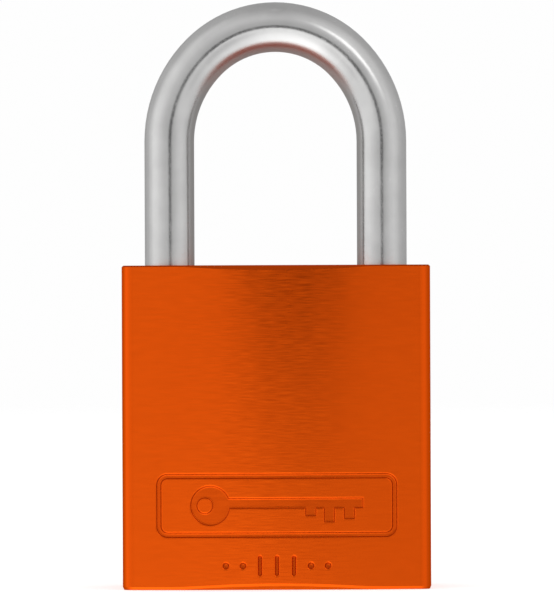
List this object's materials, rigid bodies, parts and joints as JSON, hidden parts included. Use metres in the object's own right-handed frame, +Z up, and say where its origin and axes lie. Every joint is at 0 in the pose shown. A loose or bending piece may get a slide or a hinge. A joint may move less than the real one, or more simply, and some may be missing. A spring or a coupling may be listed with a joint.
{
  "type": "safety padlock",
  "caption": "Lockout padlock with a rectangular anodised aluminium body, a rounded steel shackle that lifts out on one side, and a pin tumbler key cylinder in its underside.",
  "frame": {"origin": "centre of the body's underside, where the padlock stands", "axes": "+Z up along the shackle's legs, -Y out of the stamped front face, +X towards the toe leg, which comes free of the body"},
  "size_m": [0.04, 0.019, 0.0764],
  "materials": {
    "body_orange": "orange anodised, fine horizontal brushing",
    "shackle_steel": "satin chrome plate on hardened steel",
    "brass": "machined",
    "pin_nickel_silver": "turned, polished by use",
    "driver_steel": "turned",
    "spring_steel": "drawn wire",
    "ball_steel": "polished",
    "hard_steel": "hardened, matt",
    "screw_steel": "black oxide"
  },
  "bodies": {
    "lock": {"lock_body": "body_orange", "cylinder_shell": "brass", "chamber_cover": "brass", "core_screw": "screw_steel", "shackle_spring": "spring_steel", "pin_spring_1": "spring_steel", "pin_spring_2": "spring_steel", "pin_spring_3": "spring_steel", "pin_spring_4": "spring_steel", "pin_spring_5": "spring_steel", "pin_spring_6": "spring_steel"},
    "shackle": {"shackle": "shackle_steel"},
    "plug": {"plug": "brass", "plug_clip": "spring_steel", "locking_cam": "hard_steel"},
    "toe_ball": {"toe_ball": "ball_steel"},
    "heel_ball": {"heel_ball": "ball_steel"},
    "key_pin_1": {"key_pin_1": "pin_nickel_silver"},
    "driver_pin_1": {"driver_pin_1": "driver_steel"},
    "key_pin_2": {"key_pin_2": "pin_nickel_silver"},
    "driver_pin_2": {"driver_pin_2": "driver_steel"},
    "key_pin_3": {"key_pin_3": "pin_nickel_silver"},
    "driver_pin_3": {"driver_pin_3": "driver_steel"},
    "key_pin_4": {"key_pin_4": "pin_nickel_silver"},
    "driver_pin_4": {"driver_pin_4": "driver_steel"},
    "key_pin_5": {"key_pin_5": "pin_nickel_silver"},
    "driver_pin_5": {"driver_pin_5": "driver_steel"},
    "key_pin_6": {"key_pin_6": "pin_nickel_silver"},
    "driver_pin_6": {"driver_pin_6": "driver_steel"}
  },
  "joints": [
    {"name": "shackle_lift", "type": "slide", "parent": "lock", "child": "shackle", "axis": [0, 0, 1], "range_m": [0, 0.012], "deforming": ["shackle_spring"]},
    {"name": "plug_turn", "type": "hinge", "parent": "lock", "child": "plug", "pos_m": [0, 0, 0], "axis": [0, 0, 1], "range_deg": [-90, 0]},
    {"name": "toe_ball_slide", "type": "slide", "parent": "lock", "child": "toe_ball", "axis": [1, 0, 0], "range_m": [0, 0.002]},
    {"name": "heel_ball_slide", "type": "slide", "parent": "lock", "child": "heel_ball", "axis": [-1, 0, 0], "range_m": [0, 0.001]},
    {"name": "key_pin_1_slide", "type": "slide", "parent": "plug", "child": "key_pin_1", "axis": [0, 1, 0], "range_m": [-0.00275, 0]},
    {"name": "driver_pin_1_slide", "type": "slide", "parent": "lock", "child": "driver_pin_1", "axis": [1, 0, 0], "range_m": [0, 0.0012], "stiffness_N_per_m": 150, "springref_m": -0.002, "deforming": ["pin_spring_1"]},
    {"name": "key_pin_2_slide", "type": "slide", "parent": "plug", "child": "key_pin_2", "axis": [0, 1, 0], "range_m": [-0.00155, 0]},
    {"name": "driver_pin_2_slide", "type": "slide", "parent": "lock", "child": "driver_pin_2", "axis": [1, 0, 0], "range_m": [0, 0.0012], "stiffness_N_per_m": 150, "springref_m": -0.002, "deforming": ["pin_spring_2"]},
    {"name": "key_pin_3_slide", "type": "slide", "parent": "plug", "child": "key_pin_3", "axis": [0, 1, 0], "range_m": [-0.00335, 0]},
    {"name": "driver_pin_3_slide", "type": "slide", "parent": "lock", "child": "driver_pin_3", "axis": [1, 0, 0], "range_m": [0, 0.0012], "stiffness_N_per_m": 150, "springref_m": -0.002, "deforming": ["pin_spring_3"]},
    {"name": "key_pin_4_slide", "type": "slide", "parent": "plug", "child": "key_pin_4", "axis": [0, 1, 0], "range_m": [-0.00095, 0]},
    {"name": "driver_pin_4_slide", "type": "slide", "parent": "lock", "child": "driver_pin_4", "axis": [1, 0, 0], "range_m": [0, 0.0012], "stiffness_N_per_m": 150, "springref_m": -0.002, "deforming": ["pin_spring_4"]},
    {"name": "key_pin_5_slide", "type": "slide", "parent": "plug", "child": "key_pin_5", "axis": [0, 1, 0], "range_m": [-0.00215, 0]},
    {"name": "driver_pin_5_slide", "type": "slide", "parent": "lock", "child": "driver_pin_5", "axis": [1, 0, 0], "range_m": [0, 0.0012], "stiffness_N_per_m": 150, "springref_m": -0.002, "deforming": ["pin_spring_5"]},
    {"name": "key_pin_6_slide", "type": "slide", "parent": "plug", "child": "key_pin_6", "axis": [0, 1, 0], "range_m": [-0.00125, 0]},
    {"name": "driver_pin_6_slide", "type": "slide", "parent": "lock", "child": "driver_pin_6", "axis": [1, 0, 0], "range_m": [0, 0.0012], "stiffness_N_per_m": 150, "springref_m": -0.002, "deforming": ["pin_spring_6"]}
  ],
  "couplings": [
    {"joint": "toe_ball_slide", "follows": "plug_turn", "m_per_rad": -0.0012732},
    {"joint": "heel_ball_slide", "follows": "plug_turn", "m_per_rad": -0.0006366},
    {"joint": "key_pin_2_slide", "follows": "key_pin_1_slide", "ratio": 0.56363},
    {"joint": "driver_pin_2_slide", "follows": "driver_pin_1_slide", "ratio": 1},
    {"joint": "key_pin_3_slide", "follows": "key_pin_1_slide", "ratio": 1.2182},
    {"joint": "driver_pin_3_slide", "follows": "driver_pin_1_slide", "ratio": 1},
    {"joint": "key_pin_4_slide", "follows": "key_pin_1_slide", "ratio": 0.34545},
    {"joint": "driver_pin_4_slide", "follows": "driver_pin_1_slide", "ratio": 1},
    {"joint": "key_pin_5_slide", "follows": "key_pin_1_slide", "ratio": 0.78181},
    {"joint": "driver_pin_5_slide", "follows": "driver_pin_1_slide", "ratio": 1},
    {"joint": "key_pin_6_slide", "follows": "key_pin_1_slide", "ratio": 0.45454},
    {"joint": "driver_pin_6_slide", "follows": "driver_pin_1_slide", "ratio": 1}
  ]
}
